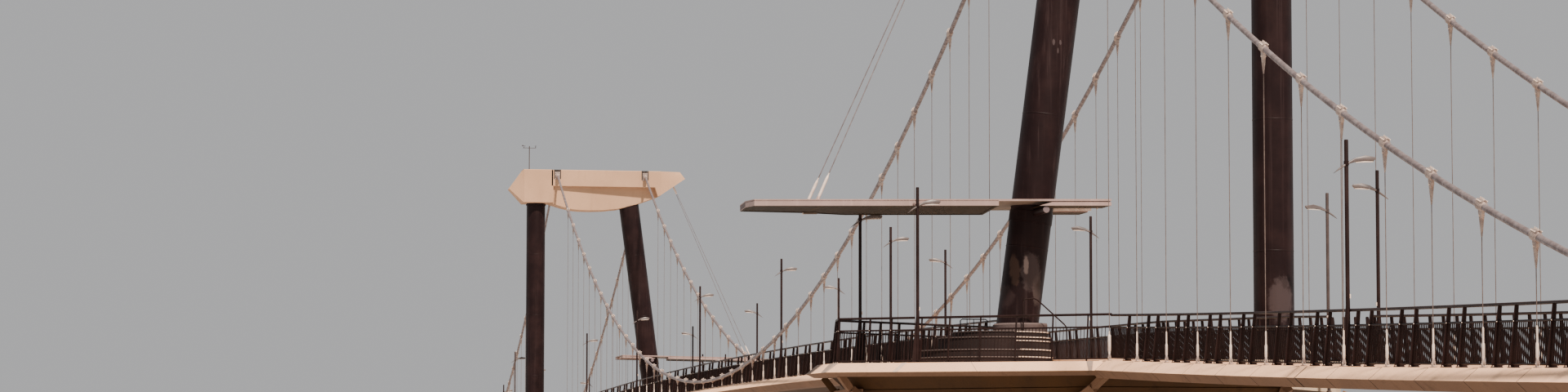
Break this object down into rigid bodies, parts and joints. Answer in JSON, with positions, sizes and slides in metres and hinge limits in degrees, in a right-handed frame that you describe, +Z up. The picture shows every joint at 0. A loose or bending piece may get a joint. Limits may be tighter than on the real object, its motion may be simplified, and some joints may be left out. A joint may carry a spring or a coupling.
{
  "type": "suspension footbridge, 1:10 scale model",
  "caption": "Suspension footbridge scale model with portal towers, canopied wedge lookouts, curved cables with hangers, a cambered concrete deck and railings.",
  "frame": {"origin": "under the middle of the bridge, at the foot of the piers", "axes": "+X along the bridge to end a, +Y to its left side, +Z up"},
  "size_m": [25, 2.5, 2.7923],
  "materials": {
    "concrete": "precast concrete, warm tan",
    "head_concrete": "board-marked concrete",
    "dark_steel": "dark brown paint",
    "rail_steel": "dark brown paint",
    "cable_steel": "dull galvanized",
    "canopy_paint": "matt light grey"
  },
  "bodies": {
    "root": {"pier_a": "concrete", "abutment_a": "concrete", "deck_tower_a": "concrete", "deck_side_span_a": "concrete", "lookout_a": "concrete", "leg_collar_a": "concrete", "seat_a": "concrete", "crosshead_a": "head_concrete", "leg_upright_a": "dark_steel", "leg_leaning_a": "dark_steel", "canopy_a": "canopy_paint", "canopy_arm_a": "dark_steel", "canopy_stay_front_a": "cable_steel", "canopy_stay_back_a": "cable_steel", "cable_main_left_a": "cable_steel", "cable_main_right_a": "cable_steel", "cable_side_left_a": "cable_steel", "cable_side_right_a": "cable_steel", "railing_side_left_a": "rail_steel", "railing_side_right_a": "rail_steel", "railing_lookout_a": "rail_steel", "lamp_leg_a": "dark_steel", "pier_b": "concrete", "abutment_b": "concrete", "deck_tower_b": "concrete", "deck_side_span_b": "concrete", "lookout_b": "concrete", "leg_collar_b": "concrete", "seat_b": "concrete", "crosshead_b": "head_concrete", "leg_upright_b": "dark_steel", "leg_leaning_b": "dark_steel", "canopy_b": "canopy_paint", "canopy_arm_b": "dark_steel", "canopy_stay_front_b": "cable_steel", "canopy_stay_back_b": "cable_steel", "cable_main_left_b": "cable_steel", "cable_main_right_b": "cable_steel", "cable_side_left_b": "cable_steel", "cable_side_right_b": "cable_steel", "railing_side_left_b": "rail_steel", "railing_side_right_b": "rail_steel", "railing_lookout_b": "rail_steel", "lamp_leg_b": "dark_steel", "wind_sensor": "dark_steel", "deck_main_span": "concrete", "railing_main_left": "rail_steel", "railing_main_right": "rail_steel"}
  },
  "joints": []
}
